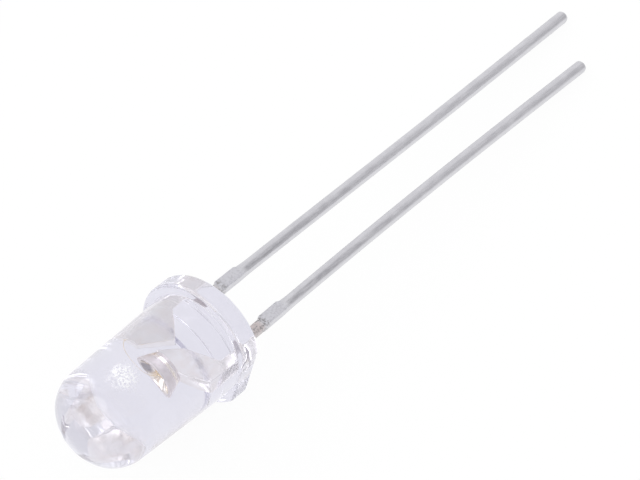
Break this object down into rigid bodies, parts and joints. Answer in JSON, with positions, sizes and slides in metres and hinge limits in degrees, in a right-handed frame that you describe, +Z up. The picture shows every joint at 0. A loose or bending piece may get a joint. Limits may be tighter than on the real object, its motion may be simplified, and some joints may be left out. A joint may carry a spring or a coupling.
{
  "type": "through hole led",
  "caption": "Clear dome-topped light-emitting diode with a flanged body, a lead frame with a reflector cup inside, and long straight leads of unequal length.",
  "frame": {"origin": "centre of the seating face, the flat underside of the flange that the leads come out of", "axes": "+X from the lead tips towards the dome; the body's own axis is raised 5.95 degrees above +X, because the part lies on its flange rim and lead tips; +Y across the leads towards the cathode; +Z up"},
  "size_m": [0.0352, 0.0055, 0.0059],
  "materials": {
    "clear_epoxy": "water-clear moulded epoxy, glossy",
    "tinned_steel": "tin-plated, satin",
    "semiconductor": "polished crystal",
    "silver_paste": "matt, cured",
    "gold_wire": "bright gold"
  },
  "bodies": {
    "root": {"lens": "clear_epoxy", "cathode_lead": "tinned_steel", "anode_lead": "tinned_steel", "die": "semiconductor", "die_attach": "silver_paste", "bond_wire": "gold_wire"}
  },
  "joints": []
}
